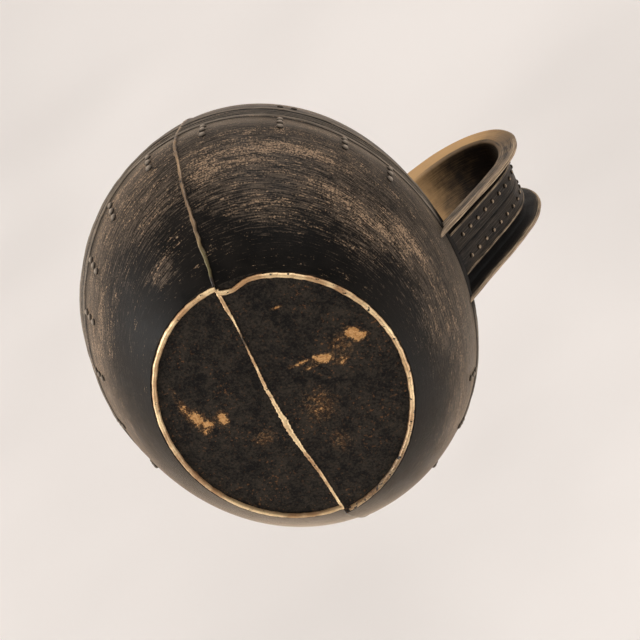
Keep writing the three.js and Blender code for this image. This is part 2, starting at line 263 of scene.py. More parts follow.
def taper(belly_half, end_half, fullness, share):
    """Superellipse from the belly to a smaller end: half size at a share of the way."""
    depth = 1 / (1 - (end_half / belly_half) ** fullness) ** (1 / fullness)
    return belly_half * max(1 - (share / depth) ** fullness, 0) ** (1 / fullness)


def oval_point(half_width, half_length, shift, skew, angle, height):
    swell = -skew * math.sin(2 * angle)
    x = (half_width + swell) * math.cos(angle)
    y = shift + (half_length + swell) * math.sin(angle)
    return Vector((x, y, height))


def between(places, position):
    """Value at a position from a list of (position, value), straight between them."""
    for (low, first), (high, second) in zip(places, places[1:]):
        if position <= high:
            return first + (second - first) * (position - low) / (high - low)
    return places[-1][1]


def joint_x(y):
    return between(JOINT_PATH, y)


def ragged(position, seed, scale):
    """Smooth random value, about -1 to 1, for a position in millimetres."""
    slow = noise.noise(Vector((position * scale, seed * 17.3, 0.0)))
    fast = noise.noise(Vector((position * scale * 3.1, seed * 17.3, 9.0)))
    return slow * 1.3 + fast * 0.7


class Form:
    """The oval body, moved in by an inset, standing on the foot of one half."""

    def __init__(self, foot, inset=0.0):
        half_length, half_width, self.shift, self.skew = foot
        edge = RING_WIDTH / 2 + FOOT_MARGIN - inset
        self.half_length = BELLY_HALF_LENGTH - inset
        self.half_width = BELLY_HALF_WIDTH - inset
        self.foot_height = RING_HEIGHT + inset
        self.foot_half_length = half_length + edge
        self.foot_half_width = half_width + edge
        self.top_height = SHOULDER_HEIGHT - inset
        self.top_radius = NECK_RADIUS - inset

    def half_sizes(self, height):
        if height < BELLY_HEIGHT:
            share = min((BELLY_HEIGHT - height) / (BELLY_HEIGHT - self.foot_height), 1)
            return (
                taper(self.half_width, self.foot_half_width, UNDERSIDE_FULLNESS, share),
                taper(self.half_length, self.foot_half_length, UNDERSIDE_FULLNESS, share),
            )
        share = min((height - BELLY_HEIGHT) / (self.top_height - BELLY_HEIGHT), 1)
        return (
            taper(self.half_width, self.top_radius, SHOULDER_FULLNESS, share),
            taper(self.half_length, self.top_radius, SHOULDER_FULLNESS, share),
        )

    def foot_share(self, height):
        return max(0, (BELLY_HEIGHT - height) / (BELLY_HEIGHT - self.foot_height))

    def running_height(self, angle, height):
        """Height at an angle of a line that runs with the belt."""
        belt_top = BELLY_HEIGHT + BELT_START + BELT_WIDTH
        above = max(0, (height - belt_top) / (self.top_height - belt_top))
        share = 1 - self.foot_share(height) ** 2 - above ** 2
        half_x, half_y = self.half_sizes(height)
        lean = LEAN_ALONG_WIDTH * half_x * math.cos(angle)
        lean += LEAN_ALONG_LENGTH * half_y * math.sin(angle)
        wave = BELT_WAVE * math.cos(2 * (angle - math.radians(BELT_CREST_ANGLE)))
        return height + share * (lean + wave)

    def point(self, angle, height):
        z = self.running_height(angle, height)
        half_x, half_y = self.half_sizes(z)
        share = self.foot_share(z) ** 2
        return oval_point(half_x, half_y, self.shift * share, self.skew * share, angle, z)

    def normal(self, angle, height):
        """Outward direction, from short steps that stay on one side of the widest part."""
        step = 0.2 if height < BELLY_HEIGHT else -0.2
        here = self.point(angle, height)
        beside = self.point(angle + 0.01, height) - here
        above = (self.point(angle, height + step) - here) / step
        return beside.cross(above).normalized()

    def joint_angle(self, end, height, offset):
        """Angle of the joint on the near side, end -1, or the far side, end 1."""
        angle = end * math.pi / 2
        for _ in range(4):
            here = self.point(angle, height)
            half_x, _ = self.half_sizes(here.z)
            angle = end * (math.pi / 2 - math.asin((joint_x(here.y) + offset) / half_x))
        return angle

    def joint_angles(self, side, height, offset):
        near = self.joint_angle(-1, height, side * offset)
        far = self.joint_angle(1, height, side * offset)
        return (near, far) if side > 0 else (far, near + math.tau)

    def holds(self, place):
        """Whether a place is inside the form."""
        half_x, half_y = self.half_sizes(place.z)
        return (place.x / half_x) ** 2 + (place.y / half_y) ** 2 < 1


def add_object(name, data):
    thing = bpy.data.objects.new(name, data)
    bpy.context.scene.collection.objects.link(thing)
    return thing


class Shell:
    """Points and faces of a mesh in millimetres. Each point also has its place along and
    across the burnishing, and three amounts of wear and painted light from 0 to 1 that its
    material reads: dirt, which in places is painted shade; bareness (worn by rubbing, chipped
    or pitted, and on the body partly painted sheen); and how far it stands out as a crest,
    which lightens it partly as a painted highlight."""

    def __init__(self):
        self.points = []
        self.flows = []
        self.wears = []
        self.faces = []
        self.slots = []

    def add(self, place, flow, wear):
        self.points.append(tuple(place))
        self.flows.append((flow[0] * MM, flow[1] * MM, 0))
        self.wears.append(tuple(wear))
        return len(self.points) - 1

    def skin(self, rows, slot=0, turned=False, closed=False):
        """Faces between neighbouring rows of point numbers."""
        for lower, upper in zip(rows, rows[1:]):
            count = len(lower)
            for i in range(count if closed else count - 1):
                following = (i + 1) % count
                face = [lower[i], lower[following], upper[following], upper[i]]
                face = list(dict.fromkeys(face))
                if len(face) > 2:
                    self.faces.append(face[::-1] if turned else face)
                    self.slots.append(slot)

    def make(self, name, materials, nodes, sharp_angle=38):
        mesh = bpy.data.meshes.new(name)
        places = [(x * MM + AXIS_X, y * MM, z * MM) for x, y, z in self.points]
        mesh.from_pydata(places, [], self.faces)
        for label, values in (("flow", self.flows), ("wear", self.wears)):
            layer = mesh.attributes.new(label, "FLOAT_VECTOR", "POINT")
            layer.data.foreach_set("vector", [number for value in values for number in value])
        for material in materials:
            mesh.materials.append(material)
        mesh.polygons.foreach_set("material_index", self.slots)
        mesh.polygons.foreach_set("use_smooth", [True] * len(mesh.polygons))
        mesh.validate()
        mesh.update()
        mesh.set_sharp_from_angle(angle=math.radians(sharp_angle))
        piece = add_object(name, mesh)
        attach(piece, "root")
        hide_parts(*nodes)


def add_boss(shell, place, outward, radius, proud):
    """A low dome with a worn top, lighter partly as a painted highlight, and darker round
    its rim, which is sunk a little into the surface.
    """
    side = outward.orthogonal().normalized()
    other = outward.cross(side)
    rows = []
    for reach, rise in BOSS_DOME:
        # Darker round the rim; the top is lighter, partly as a painted highlight.
        dirt = max(0, 0.8 - rise * 3)
        crest = max(0, rise) ** 1.5
        row = []
        for i in range(BOSS_STEPS):
            turn = math.tau * i / BOSS_STEPS
            across = (side * math.cos(turn) + other * math.sin(turn)) * radius * reach
            spot = place + across + outward * proud * rise
            row.append(shell.add(spot, (spot.x, spot.z), (dirt, 0, crest)))
        rows.append(row)
    shell.skin(rows, closed=True)


def belt_profile(rise):
    """How far the belt's lines stand out at a rise above the widest part."""
    lines = [(BELT_START, EDGE_LINE_WIDTH, EDGE_LINE_PROUD)]
    for i in range(1, FINE_LINE_COUNT + 1):
        lines.append((BELT_START + FINE_LINE_PITCH * i, FINE_LINE_WIDTH, FINE_LINE_PROUD))
    lines.append((BELT_START + BELT_WIDTH, EDGE_LINE_WIDTH, EDGE_LINE_PROUD))
    proud = 0
    for centre, width, height in lines:
        away = abs(rise - centre) / width
        if away < 0.5:
            proud += height * math.cos(math.pi * away) ** 2
    return proud


def belt_painted_shade(rise, crest):
    """Painted shade between the belt's raised lines and in the soft band above it, 0 to 1."""
    if abs(rise - BELT_START - BELT_WIDTH / 2) < BELT_WIDTH / 2 + EDGE_LINE_WIDTH:
        return 1 - crest
    away = (rise - BELT_START - BELT_WIDTH - UPPER_SHADE_RISE) / UPPER_SHADE_REACH
    return UPPER_SHADE * math.exp(-(away ** 2))


def body_heights(form):
    """Heights of the rows up the body: underside, belt and shoulder."""
    belt_bottom = BELLY_HEIGHT + BELT_START - BELT_MARGIN
    belt_top = BELLY_HEIGHT + BELT_START + BELT_WIDTH + BELT_MARGIN
    heights = []
    for i in range(UNDERSIDE_ROWS):
        share = 1 - math.cos(math.pi / 2 * i / UNDERSIDE_ROWS)
        heights.append(form.foot_height + (belt_bottom - form.foot_height) * share)
    belt_rows = round((belt_top - belt_bottom) / BELT_ROW_STEP)
    for i in range(belt_rows):
        heights.append(belt_bottom + (belt_top - belt_bottom) * i / belt_rows)
    for i in range(SHOULDER_ROWS + 1):
        share = math.sin(math.pi / 2 * i / SHOULDER_ROWS)
        heights.append(belt_top + (form.top_height - belt_top) * share)
    return heights


def rubbed_and_sheen(angle, height):
    """How much of the patina is worn away by rubbing at a place on the body, 0 to 1,
    with painted sheen in some of the places.
    """
    degrees = math.degrees(angle)
    total = RUB_AND_SHEEN_OVERALL * min(max((height - RUB_AND_SHEEN_START) / RUB_AND_SHEEN_RISE, 0), 1)
    for centre, middle, around, up, strength in RUBBED_AND_SHEEN_PLACES:
        turn = (degrees - centre + 180) % 360 - 180
        total += strength * math.exp(-((turn / around) ** 2) - ((height - middle) / up) ** 2)
    return min(total, 1)


def contact_painted_shade(place):
    """Painted contact shade on the body round the feet of the handle, 0 to 1."""
    if place.x < 0:
        return 0
    aside = max(abs(place.y) - STRAP_WIDTH / 2, 0)
    nearest = min(max(low - place.z, place.z - high, 0) for low, high in STRAP_FEET)
    return math.exp(-(aside ** 2 + nearest ** 2) / CONTACT_SHADE_REACH ** 2)


def chipped(place):
    """How far a place on the base is towards the middle of a chip, 0 to 1."""
    best = 0.0
    for x, y, reach_x, reach_y, strength in BASE_CHIPS:
        away = ((place.x - x) / reach_x) ** 2 + ((place.y - y) / reach_y) ** 2
        best = max(best, strength * math.exp(-away))
    return best


def base_rows(shell, side, rim_places, height, chips=True):
    """Rows across the base from the joint out to the rim, one to each place on the rim."""
    rows = []
    for place, number in rim_places:
        start = joint_x(place.y) + side * HALF_GAP
        row = []
        for k in range(BASE_STEPS):
            x = start + (place.x - start) * k / BASE_STEPS
            spot = Vector((x, place.y, height))
            bare = chipped(spot) if chips else 0
            row.append(shell.add(spot, (x, place.y), (0, bare, 0)))
        row.append(number)
        rows.append(row)
    return rows


def wall_rows(shell, side, form, heights, belt):
    """Rows up one half, each from joint to joint, with the places of the lowest row."""
    rows = []
    lowest = []
    climbed = 0.0
    last_middle = None
    for height in heights:
        start, end = form.joint_angles(side, height, HALF_GAP)
        rise = height - BELLY_HEIGHT
        proud = belt_profile(rise) if belt else 0
        crest = min(proud / FINE_LINE_PROUD, 1)
        middle = form.point((start + end) / 2, height)
        if last_middle is not None:
            climbed += (middle - last_middle).length
        last_middle = middle
        row = []
        for i in range(COLUMNS + 1):
            angle = start + (end - start) * i / COLUMNS
            travel = angle * FLOW_RADIUS
            place = form.point(angle, height)
            if proud:
                uneven = 1 + LINE_UNEVENNESS * ragged(travel, seed=1 + round(rise), scale=0.09)
                place += form.normal(angle, height) * proud * max(uneven, 0.3)
            # worn is rubbing with painted sheen in places; dirt is painted shade in the belt's
            # grooves, above the belt and round the handle's feet; crest gives the belt's lines
            # lighter tops, partly a painted highlight.
            worn = rubbed_and_sheen(angle, place.z) if belt else 0
            dirt = max(belt_painted_shade(rise, crest), contact_painted_shade(place)) if belt else 0
            row.append(shell.add(place, (travel, climbed), (dirt, worn, 0.75 * crest ** 1.5)))
            if not rows:
                lowest.append((place, row[-1]))
        rows.append(row)
    return rows, lowest


def group_angles():
    angles = list(FRONT_GROUP_ANGLES)
    start = angles[-1]
    for i in range(1, BACK_GROUP_COUNT + 1):
        angles.append(start + (LAST_GROUP_ANGLE - start) * i / BACK_GROUP_COUNT)
    return angles


def add_body_bosses(shell, side, form):
    spots = []
    for angle in group_angles():
        for i in range(BOSSES_PER_GROUP):
            spots.append((angle, BELT_START - BOSS_DROP - BOSS_PITCH * i))
    for angle in UPPER_BOSS_ANGLES:
        spots.append((angle, BELT_START + BELT_WIDTH + UPPER_BOSS_RISE))
    for degrees, rise in spots:
        angle = math.radians(degrees)
        if math.cos(angle) * side > 0:
            place = form.point(angle, BELLY_HEIGHT + rise)
            outward = form.normal(angle, BELLY_HEIGHT + rise)
            add_boss(shell, place, outward, BOSS_RADIUS, BOSS_PROUD)


def make_body_half(side, foot, name, materials):
    shell = Shell()
    form = Form(foot)
    lining = Form(foot, WALL)
    heights = body_heights(form)
    span = (lining.top_height - lining.foot_height) / (form.top_height - form.foot_height)
    inner_heights = [lining.foot_height + (height - form.foot_height) * span for height in heights]

    outer, rim = wall_rows(shell, side, form, heights, belt=True)
    inner, inner_rim = wall_rows(shell, side, lining, inner_heights, belt=False)
    base = base_rows(shell, side, rim, form.foot_height)
    floor = base_rows(shell, side, inner_rim, lining.foot_height, chips=False)
    below_belt = sum(height < BELLY_HEIGHT + BELT_START for height in heights)
    shell.skin(outer[:below_belt + 1])
    shell.skin(outer[below_belt:], slot=2)
    shell.skin(inner, slot=1, turned=True)
    shell.skin(list(zip(*base)), slot=1, turned=side < 0)
    shell.skin(list(zip(*floor)), slot=1, turned=side > 0)
    shell.skin([outer[-1], inner[-1]], slot=1)
    for column in (0, -1):
        pair = [[row[column] for row in outer], [row[column] for row in inner]]
        shell.skin(pair, slot=1, turned=column == 0)
    shell.skin([[row[0] for row in base], [row[0] for row in floor]], slot=1)
    add_body_bosses(shell, side, form)
    shell.make(name, materials, [name.replace("_skin", "")])


def ring_wear_and_light(side, angle, turn):
    """Dirt, pits and brightness of the bead at an angle round the ring and a turn over it.
    The brightness is a painted highlight on the bead's outer flank that turns to painted
    shade on its inner flank.
    """
    pits = 0.2
    dirt = 0
    if side > 0:
        pits = 0.6 + 0.4 * max(0, math.cos(angle - math.radians(RING_PITTED_ANGLE)))
        dirt = RING_DULLNESS * max(0, math.cos(angle - math.radians(RING_DULL_ANGLE))) ** 2
    # Third value: painted highlight on the outer flank, painted shade on the inner flank.
    return dirt, pits, max(0, math.sin(turn * 1.3))


def ring_centre(side, foot, angle):
    """Middle of the bead at an angle, and the direction across it."""
    half_length, half_width, shift, skew = foot
    centre = oval_point(half_width, half_length, shift, skew, angle, 0)
    centre.x += joint_x(centre.y) * (1 - abs(math.cos(angle))) ** 6
    across = Vector((half_length * math.cos(angle), half_width * math.sin(angle), 0)).normalized()
    if side > 0:
        from_sag = (math.degrees(angle) - RING_SAG_ANGLE) / RING_SAG_REACH
        centre -= across * RING_SAG * math.exp(-(from_sag ** 2))
    return centre, across


def make_ring_half(side, foot, name, material):
    """Half of the foot ring: a low bead with ragged edges, flat where it stands."""
    half_width = foot[1]
    shell = Shell()
    start, end = (-90, 90) if side > 0 else (90, 270)
    if side > 0:
        end -= math.degrees(RING_GAP / half_width)
    rows = []
    for i in range(RING_STEPS + 1):
        angle = math.radians(start + (end - start) * i / RING_STEPS)
        centre, across = ring_centre(side, foot, angle)
        travel = angle * half_width
        low = RING_FOOT_WEAR * abs(ragged(travel, seed=side * 5, scale=0.3))
        row = []
        for k in range(RING_ARC_STEPS + 1):
            turn = math.pi * k / RING_ARC_STEPS
            edge = 1 if math.cos(turn) > 0 else 2
            uneven = RING_RAGGEDNESS * ragged(travel, seed=side * 3 + edge, scale=0.35)
            width = RING_WIDTH / 2 * (RING_FULLNESS + uneven)
            reach = width * math.copysign(abs(math.cos(turn)) ** 0.8, math.cos(turn))
            z = low + (RING_HEIGHT + RING_METAL_SINK - low) * (1 - math.sin(turn) ** 0.75)
            spot = centre + across * reach + Vector((0, 0, z))
            row.append(shell.add(spot, (travel, reach), ring_wear_and_light(side, angle, turn)))
        rows.append(row)
    shell.skin(rows)
    shell.faces.append(rows[0][::-1])
    shell.faces.append(rows[-1])
    shell.slots += [0, 0]
    shell.make(name, [material], [name.replace("_bead", "")], sharp_angle=60)


def make_base_seam(material):
    """Joint metal across the base: a ragged strip that thins to a dark crack in one place."""
    half_length, _, shift, _ = SEAM_FOOT
    shell = Shell()
    rows = []
    for i in range(BASE_SEAM_STEPS + 1):
        y = shift - half_length + 2 * half_length * i / BASE_SEAM_STEPS
        centre = joint_x(y) + BASE_SEAM_WANDER * ragged(y, seed=4, scale=0.2)
        width = between(BASE_SEAM_WIDTHS, y)
        crack = CRACK_DIRT * math.exp(-(((y - CRACK_Y) / CRACK_REACH) ** 2))
        row = []
        for k in range(BASE_SEAM_ARC_STEPS + 1):
            turn = math.pi * k / BASE_SEAM_ARC_STEPS
            edge = 1 if math.cos(turn) > 0 else 2
            uneven = BASE_SEAM_RAGGEDNESS * ragged(y, seed=20 + edge, scale=1.4)
            reach = width / 2 * (1 + uneven) * math.cos(turn)
            rise = (SEAM_PROUD + BASE_METAL_SINK) * math.sin(turn) ** 0.7
            z = RING_HEIGHT + BASE_METAL_SINK - rise
            row.append(shell.add((centre + reach, y, z), (y, reach), (crack, 0.3, math.sin(turn))))
        rows.append(row)
    shell.skin(rows, turned=True)
    shell.make("base_seam_metal", [material], ["base_seam"], sharp_angle=60)


def make_side_seam(end, name, material):
    """Joint metal up one side, a narrow bead that follows the body."""
    form = Form(SEAM_FOOT)
    shell = Shell()
    rows = []
    for i in range(SIDE_SEAM_STEPS + 1):
        height = form.foot_height + (form.top_height - form.foot_height) * i / SIDE_SEAM_STEPS
        foot_fade = math.exp(-(((height - form.foot_height) / SEAM_FOOT_REACH) ** 2))
        half = SIDE_SEAM_WIDTH / 2 * (1 - SEAM_FOOT_NARROWING * foot_fade)
        wander = SIDE_SEAM_WANDER * ragged(height, seed=6 + end, scale=0.12)
        bead = SEAM_PROUD * (1 + SIDE_SEAM_LUMPS * ragged(height, seed=9 + end, scale=0.5))
        row = []
        for k in range(2 * SIDE_SEAM_HALF_STEPS + 1):
            share = k / SIDE_SEAM_HALF_STEPS - 1
            edge = 1 if share > 0 else 2
            uneven = SIDE_SEAM_RAGGEDNESS * ragged(height, seed=30 + edge + end, scale=0.6)
            reach = half * (SIDE_SEAM_FULLNESS + uneven) * share
            angle = form.joint_angle(end, height, wander + reach)
            proud = -SEAM_SINK + (bead + SEAM_SINK) * math.sqrt(max(0, 1 - share * share))
            place = form.point(angle, height) + form.normal(angle, height) * proud
            row.append(shell.add(place, (height, reach), (foot_fade, 0.6, 1 - abs(share))))
        rows.append(row)
    shell.skin(rows, turned=end > 0)
    shell.make(name, [material], [name.replace("_metal", "")], sharp_angle=60)


def catmull_rom(points, count):
    """Points along a centripetal curve through the given points."""
    first = points[0] * 2 - points[1]
    last = points[-1] * 2 - points[-2]
    row = [first, *points, last]
    places = []
    segments = len(points) - 1
    for i in range(count + 1):
        position = min(i / count * segments, segments - 1e-9)
        k = int(position)
        share = position - k
        a, b, c, d = row[k:k + 4]
        before = (b - a).length ** 0.5
        here = (c - b).length ** 0.5
        after = (d - c).length ** 0.5
        start = ((b - a) / before - (c - a) / (before + here) + (c - b) / here) * here
        end = ((c - b) / here - (d - b) / (here + after) + (d - c) / after) * here
        cube = b * 2 - c * 2 + start + end
        square = c * 3 - b * 3 - start * 2 - end
        places.append(b + start * share + square * share ** 2 + cube * share ** 3)
    return places


def make_neck(material):
    shell = Shell()
    lip_x = MOUTH_RADIUS - LIP_RADIUS
    lip_z = SHOULDER_HEIGHT + NECK_HEIGHT - LIP_RADIUS
    centre_line = catmull_rom([
        Vector((NECK_RADIUS - WALL / 2, SHOULDER_HEIGHT, 0)),
        Vector((NECK_WAIST_RADIUS - WALL / 2, SHOULDER_HEIGHT + NECK_HEIGHT * 0.33, 0)),
        Vector((NECK_WAIST_RADIUS, SHOULDER_HEIGHT + NECK_HEIGHT * 0.6, 0)),
        Vector((lip_x, lip_z - LIP_RADIUS * 0.75, 0)),
    ], NECK_CURVE_STEPS)
    profile = [(place.x + WALL / 2, place.y, 0.1) for place in centre_line]
    for i in range(LIP_STEPS + 1):
        turn = math.radians(LIP_START + LIP_SWEEP * i / LIP_STEPS)
        radius = lip_x + LIP_RADIUS * math.cos(turn)
        profile.append((radius, lip_z + LIP_RADIUS * math.sin(turn), 0.8))
    profile += [(place.x - WALL / 2, place.y, 0) for place in reversed(centre_line)]
    rows = []
    for radius, height, crest in profile:
        row = []
        for i in range(NECK_STEPS):
            angle = math.tau * i / NECK_STEPS
            spot = (radius * math.cos(angle), radius * math.sin(angle), height)
            row.append(shell.add(spot, (angle * radius, height), (0, RUB_AND_SHEEN_OVERALL, crest)))
        rows.append(row)
    shell.skin(rows, closed=True)
    shell.make("neck_skin", [material], ["neck"], sharp_angle=60)


def strap_section():
    """Strap outline as (across, outwards, dirt, worn), from the middle of the outer face.
    The dirt column darkens the centre groove and the channels: dark patina with painted shade.
    The small numbers beside the named sizes ease its corners."""
    tip = STRAP_WIDTH / 2
    root = tip - FLANGE_FLARE
    line_end = STRAP_FACE_HALF_WIDTH + STRAP_LINE_WIDTH
    half = [
        (0.0, 0.0, 1, 0),
        (CENTRE_GROOVE_WIDTH / 2, STRAP_FACE_PROUD, 0.2, 0.1),
        (CENTRE_GROOVE_WIDTH, STRAP_FACE_PROUD, 0, 0.1),
        (STRAP_FACE_HALF_WIDTH - 0.3, STRAP_FACE_PROUD, 0, 0.1),
        (STRAP_FACE_HALF_WIDTH + 0.2, STRAP_LINE_PROUD + 0.2, 0, 0.75),
        (STRAP_FACE_HALF_WIDTH + 0.9, STRAP_LINE_PROUD + 0.2, 0, 0.75),
        (line_end, STRAP_FACE_PROUD / 2, 0.7, 0),
        (line_end + CHANNEL_SLOPE, -CHANNEL_DEPTH, 1, 0),
        (root - FLANGE_FILLET, -CHANNEL_DEPTH, 1, 0),
        (root - 0.3, 0.3, 1, 0),
        (root + 0.1, 2.2, 1, 0),
        (tip - FLANGE_TIP_THICKNESS - 0.2, FLANGE_HEIGHT - 2.2, 0.6, 0.1),
        (tip - FLANGE_TIP_THICKNESS, FLANGE_HEIGHT - 0.7, 0, 0.7),
        (tip - FLANGE_TIP_THICKNESS * 0.8, FLANGE_HEIGHT, 0, 1),
        (tip - FLANGE_TIP_THICKNESS * 0.2, FLANGE_HEIGHT + 0.1, 0, 1),
        (tip + 0.1, FLANGE_HEIGHT - 0.6, 0, 1),
        (tip, FLANGE_HEIGHT - 1.6, 0, 0.8),
        (tip - 0.3, FLANGE_HEIGHT - 2.6, 0, 0.55),
        (root + FLANGE_ROOT_THICKNESS + 0.1, 1.8, 0, 0.6),
        (root + 1.1, -0.8, 0, 0.65),
        (root + 0.4, -WEB_THICKNESS - 0.1, 0, 0.7),
        (root - 1.0, -WEB_THICKNESS, 0, 0.1),
    ]
    mirrored = [(-across, *rest) for across, *rest in reversed(half[1:])]
    return rounded(half + mirrored, 2)


def rounded(outline, times):
    """Corners cut off a closed outline, to round it."""
    for _ in range(times):
        cut = []
        for i, here in enumerate(outline):
            following = outline[(i + 1) % len(outline)]
            cut.append(tuple(a * 0.75 + b * 0.25 for a, b in zip(here, following)))
            cut.append(tuple(a * 0.25 + b * 0.75 for a, b in zip(here, following)))
        outline = cut
    return outline


class StrapLine:
    """The middle of the strap's outer face, measured along its length."""

    def __init__(self):
        path = [Vector((x, 0, z)) for x, z in STRAP_PATH]
        self.places = catmull_rom(path, STRAP_CURVE_STEPS)
        self.travels = [0.0]
        for before, here in zip(self.places, self.places[1:]):
            self.travels.append(self.travels[-1] + (here - before).length)
        self.length = self.travels[-1]

    def at(self, share):
        """Place and outward direction at a share of the length."""
        wanted = share * self.length
        low, high = 0, len(self.travels) - 1
        while high - low > 1:
            middle = (low + high) // 2
            if self.travels[middle] > wanted:
                high = middle
            else:
                low = middle
        part = (wanted - self.travels[low]) / (self.travels[high] - self.travels[low])
        before = self.places[max(low - 1, 0)]
        after = self.places[min(high + 1, len(self.places) - 1)]
        along = (after - before).normalized()
        return self.places[low].lerp(self.places[high], part), Vector((along.z, 0, -along.x))

    def spot(self, share, across, outwards):
        place, outward = self.at(share)
        return place + outward * outwards + Vector((0, across, 0))

    def surface_share(self, form, across, outwards, inside, outside):
        """Share of the length where a line along the strap meets the body."""
        for _ in range(18):
            middle = (inside + outside) / 2
            if form.holds(self.spot(middle, across, outwards)):
                inside = middle
            else:
                outside = middle
        return inside


def strap_bareness(share, across, outwards):
    """Bare golden metal in the loop's inner face and on the near flange of the upper leg.
    Along the inner face it fades towards the bend, which is partly painted shade.
    """
    upper = min(max((share - 0.5) / 0.42, 0), 1)
    if outwards < -0.5:
        return 0.2 + 0.5 * upper ** 4
    if across < -STRAP_WIDTH / 2 + NEAR_FLANGE_BARE_WIDTH:
        return min(upper * 1.5, 0.8)
    return 0


def add_strap_bosses(shell, line):
    """Two rows of bosses along the strap, where it stands clear of the body."""
    seat = Form(RIGHT_FOOT, -STRAP_BOSS_RADIUS)
    travel = STRAP_BOSS_PITCH
    while travel < line.length:
        share = travel / line.length
        for side in (-1, 1):
            place = line.spot(share, side * STRAP_BOSS_ROW_OFFSET, STRAP_FACE_PROUD)
            if not seat.holds(place):
                uneven = 0.1 * ragged(travel, seed=50 + side, scale=0.3)
                radius = STRAP_BOSS_RADIUS * (1 + uneven)
                add_boss(shell, place, line.at(share)[1], radius, STRAP_BOSS_PROUD)
        travel += STRAP_BOSS_PITCH


def make_handle(material):
    line = StrapLine()
    body = Form(RIGHT_FOOT, STRAP_SINK)
    section = strap_section()
    shell = Shell()
    ends = [
        [line.surface_share(body, across, outwards, inside, 0.5) for inside in (0.0, 1.0)]
        for across, outwards, _, _ in section
    ]
    rows = []
    for i in range(STRAP_STEPS + 1):
        row = []
        for k, (across, outwards, dirt, worn) in enumerate(section):
            start, end = ends[k]
            share = start + (end - start) * i / STRAP_STEPS
            travel = share * line.length
            sway = FLANGE_SWAY * ragged(travel, seed=40 + (across > 0), scale=0.05)
            sway *= max(0, outwards / FLANGE_HEIGHT)
            spot = line.spot(share, across, outwards + sway)
            bare = strap_bareness(share, across, outwards)
            from_end = min(share - start, end - share) * line.length
            # Painted shade where the strap meets the body.
            end_painted_shade = math.exp(-((from_end / STRAP_END_SHADE_REACH) ** 2))
            wear = (max(dirt, end_painted_shade), bare, worn)
            row.append(shell.add(spot, (travel, across + outwards), wear))
        rows.append(row)
    shell.skin(rows, closed=True, turned=True)
    add_strap_bosses(shell, line)
    shell.make("handle_strap", [material], ["handle"], sharp_angle=60)


class Graph:
    """A short way to write a material: each call adds a node and gives its output."""

    def __init__(self, name):
        self.material = bpy.data.materials.new(name)
        self.material.use_nodes = True
        self.tree = self.material.node_tree
        self.tree.nodes.clear()
        self.flow = self.add("ShaderNodeAttribute", attribute_name="flow").outputs["Vector"]
        wear = self.add("ShaderNodeAttribute", attribute_name="wear").outputs["Vector"]
        self.wear = self.add("ShaderNodeSeparateXYZ", {0: wear}).outputs
        self.place = self.add("ShaderNodeTexCoord").outputs["Object"]

    def add(self, kind, inputs=None, **settings):
        node = self.tree.nodes.new(kind)
        for key, value in settings.items():
            setattr(node, key, value)
        for key, value in (inputs or {}).items():
            self.feed(node.inputs[key], value)
        return node

    def feed(self, socket, value):
        if isinstance(value, bpy.types.NodeSocket):
            self.tree.links.new(value, socket)
        else:
            socket.default_value = value

    def math(self, operation, *values):
        return self.add("ShaderNodeMath", dict(enumerate(values)), operation=operation).outputs[0]

    def times(self, first, second):
        return self.math("MULTIPLY", first, second)

    def plus(self, first, second):
        return self.math("ADD", first, second)

    def mix(self, factor, first, second):
        node = self.add("ShaderNodeMix", {0: factor, 6: first, 7: second}, data_type="RGBA")
        return node.outputs[2]

    def scaled(self, vector, along, across, depth=1):
        """The vector stretched, for noise that is finer across it than along it."""
        inputs = {0: vector, 1: (along, across, depth)}
        return self.add("ShaderNodeVectorMath", inputs, operation="MULTIPLY").outputs[0]

    def noise(self, vector, scale, detail, roughness):
        """Noise from 0 to 1, its scale in repeats to the metre."""
        inputs = {"Vector": vector, "Scale": scale, "Detail": detail, "Roughness": roughness}
        return self.add("ShaderNodeTexNoise", inputs).outputs["Fac"]

    def band(self, value, low, high, smallest=0.0, largest=1.0):
        """Smooth step from smallest below low to largest above high."""
        inputs = dict(enumerate((value, low, high, smallest, largest)))
        return self.add("ShaderNodeMapRange", inputs, interpolation_type="SMOOTHSTEP").outputs[0]

    def bump(self, height, strength, distance):
        inputs = {"Strength": strength, "Distance": distance, "Height": height}
        return self.add("ShaderNodeBump", inputs).outputs[0]

    def finish(self, **sockets):
        shader = self.add("ShaderNodeBsdfPrincipled")
        for name, value in sockets.items():
            self.feed(shader.inputs[name.replace("_", " ")], value)
        self.add("ShaderNodeOutputMaterial", {0: shader.outputs[0]})
        return self.material


def colour(red, green, blue):
    """A screen colour, 0 to 255, as the linear colour that the shader takes."""
    linear = []
    for value in (red, green, blue):
        share = value / 255
        linear.append(share / 12.92 if share <= 0.04045 else ((share + 0.055) / 1.055) ** 2.4)
    return (*linear, 1.0)


